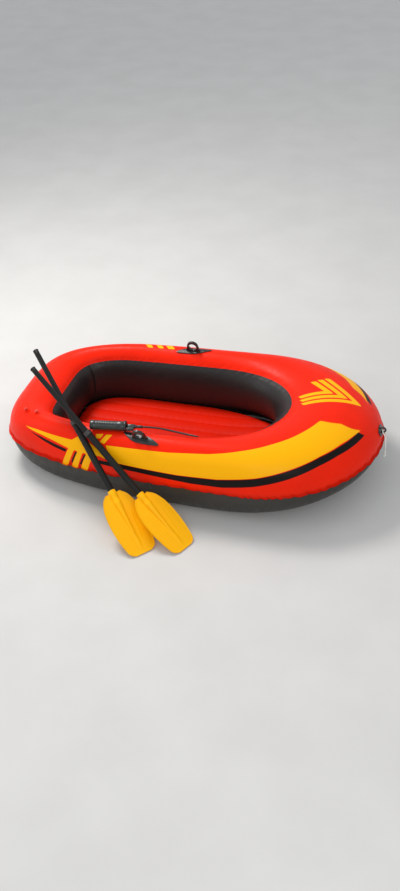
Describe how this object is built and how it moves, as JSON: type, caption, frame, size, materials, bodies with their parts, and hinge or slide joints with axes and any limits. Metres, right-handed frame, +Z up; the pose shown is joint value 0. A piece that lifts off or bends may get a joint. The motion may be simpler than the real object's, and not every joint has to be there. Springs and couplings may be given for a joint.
{
  "type": "inflatable boat with oars and hand pump",
  "caption": "Oval inflatable boat with a ribbed floor, a raised bow, moulded oarlocks, jointed oars, a hand pump with a hose and a bow rope.",
  "frame": {"origin": "on the ground, under the flat bottom, at half the hull's length and on its centreline", "axes": "+X to the bow, +Y to port, +Z up"},
  "size_m": [1.8808, 1.2946, 0.62],
  "materials": {
    "hull_skin": "satin",
    "bottom_skin": "satin",
    "wall_skin": "satin",
    "floor_skin": "satin",
    "fitting_black": "satin",
    "valve_vinyl": "satin",
    "cap_vinyl": "satin",
    "blade_plastic": "satin",
    "shaft_plastic": "satin",
    "joint_ring": "satin",
    "pump_plastic": "satin",
    "hose_rubber": "satin",
    "rope_fibre": "matte"
  },
  "bodies": {
    "hull": {"hull_top_skin": "hull_skin", "hull_bottom_skin": "bottom_skin", "cockpit_wall_skin": "wall_skin", "chamber_baffle": "bottom_skin", "floor_ribbed_sheet": "floor_skin", "bottom_sheet": "bottom_skin", "oarlock_starboard": "fitting_black", "oarlock_port": "fitting_black", "bow_eye": "fitting_black", "main_chamber_valve": "valve_vinyl", "inner_chamber_valve": "valve_vinyl", "floor_valve": "valve_vinyl", "bow_rope": "rope_fibre", "bow_rope_return": "rope_fibre", "bow_rope_knot": "rope_fibre"},
    "main_chamber_cap": {"main_chamber_valve_cap": "cap_vinyl"},
    "inner_chamber_cap": {"inner_chamber_valve_cap": "cap_vinyl"},
    "floor_cap": {"floor_valve_cap": "cap_vinyl"},
    "lower_oar": {"lower_oar_blade": "blade_plastic", "lower_oar_lower_shaft": "shaft_plastic", "lower_oar_joint_collar": "joint_ring"},
    "lower_oar_handle": {"lower_oar_upper_shaft": "shaft_plastic", "lower_oar_end_cap": "shaft_plastic"},
    "upper_oar": {"upper_oar_blade": "blade_plastic", "upper_oar_lower_shaft": "shaft_plastic", "upper_oar_joint_collar": "joint_ring"},
    "upper_oar_handle": {"upper_oar_upper_shaft": "shaft_plastic", "upper_oar_end_cap": "shaft_plastic"},
    "pump": {"pump_end_cap": "pump_plastic", "pump_barrel": "pump_plastic", "pump_collar": "pump_plastic"},
    "pump_plunger": {"pump_rod": "pump_plastic", "pump_piston": "pump_plastic", "pump_head": "pump_plastic", "pump_hose": "hose_rubber", "hose_nozzle": "hose_rubber"}
  },
  "joints": [
    {"name": "main_chamber_cap_hinge", "type": "hinge", "parent": "hull", "child": "main_chamber_cap", "pos_m": [-0.75219, -0.27231, 0.34224], "axis": [0, 0.9617, 0.2742], "range_deg": [0, 140]},
    {"name": "inner_chamber_cap_hinge", "type": "hinge", "parent": "hull", "child": "inner_chamber_cap", "pos_m": [-0.68392, -0.29192, 0.35254], "axis": [0, 0.9966, 0.0821], "range_deg": [0, 140]},
    {"name": "floor_cap_hinge", "type": "hinge", "parent": "hull", "child": "floor_cap", "pos_m": [-0.4695, -0.145, 0.0917], "axis": [0, 1, 0], "range_deg": [0, 140]},
    {"name": "lower_oar_lift", "type": "slide", "parent": "hull", "child": "lower_oar", "axis": [0, 0, 1], "range_m": [0, 0.15]},
    {"name": "lower_oar_handle_slide", "type": "slide", "parent": "lower_oar", "child": "lower_oar_handle", "axis": [-0.6348, 0.5437, 0.549], "range_m": [0, 0.06]},
    {"name": "upper_oar_lift", "type": "slide", "parent": "lower_oar", "child": "upper_oar", "axis": [0, 0, 1], "range_m": [0, 0.15]},
    {"name": "upper_oar_handle_slide", "type": "slide", "parent": "upper_oar", "child": "upper_oar_handle", "axis": [-0.7631, 0.3777, 0.5244], "range_m": [0, 0.06]},
    {"name": "pump_lift", "type": "slide", "parent": "hull", "child": "pump", "axis": [0, 0, 1], "range_m": [0, 0.15]},
    {"name": "pump_stroke", "type": "slide", "parent": "pump", "child": "pump_plunger", "axis": [0.9895, 0.1446, 0], "range_m": [0, 0.1]}
  ]
}
